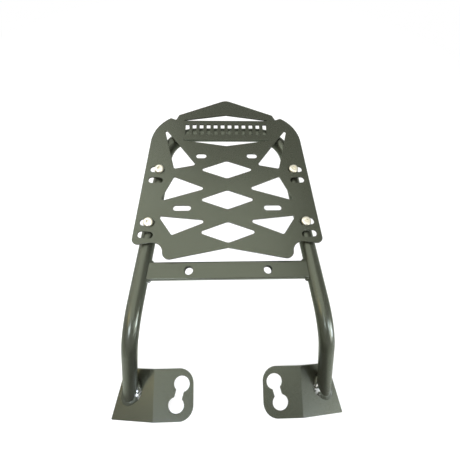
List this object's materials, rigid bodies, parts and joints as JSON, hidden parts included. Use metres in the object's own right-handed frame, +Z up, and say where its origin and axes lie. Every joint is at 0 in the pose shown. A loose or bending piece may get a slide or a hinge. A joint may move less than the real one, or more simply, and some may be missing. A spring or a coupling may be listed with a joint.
{
  "type": "motorcycle luggage rack",
  "caption": "Motorcycle rear luggage rack: a crowned, lattice-cut steel plate screwed to a bent tube frame with a crossbar and two folded feet with keyhole slots.",
  "frame": {"origin": "midway between the crossbar's two bolt holes, on the crossbar's top face", "axes": "+Z up out of the luggage plate, +Y rearwards to the crowned end, +X to the right as seen with the crown away from the viewer"},
  "size_m": [0.378, 0.5049, 0.1676],
  "materials": {
    "black_coat": "satin black powder coat",
    "zinc_screw": "bright zinc plate",
    "boss_steel": "satin black powder coat",
    "weld_bead": "rippled weld metal"
  },
  "bodies": {
    "root": {"top_plate": "black_coat", "tube_frame": "black_coat", "crossbar": "black_coat", "foot_bracket_left": "black_coat", "foot_bracket_right": "black_coat", "foot_weld_left": "weld_bead", "foot_weld_right": "weld_bead", "crossbar_weld_left": "weld_bead", "crossbar_weld_right": "weld_bead", "boss_rear_left": "boss_steel", "boss_rear_right": "boss_steel", "boss_front_left": "boss_steel", "boss_front_right": "boss_steel", "screw_rear_left": "zinc_screw", "screw_rear_right": "zinc_screw", "screw_front_left": "zinc_screw", "screw_front_right": "zinc_screw"}
  },
  "joints": []
}
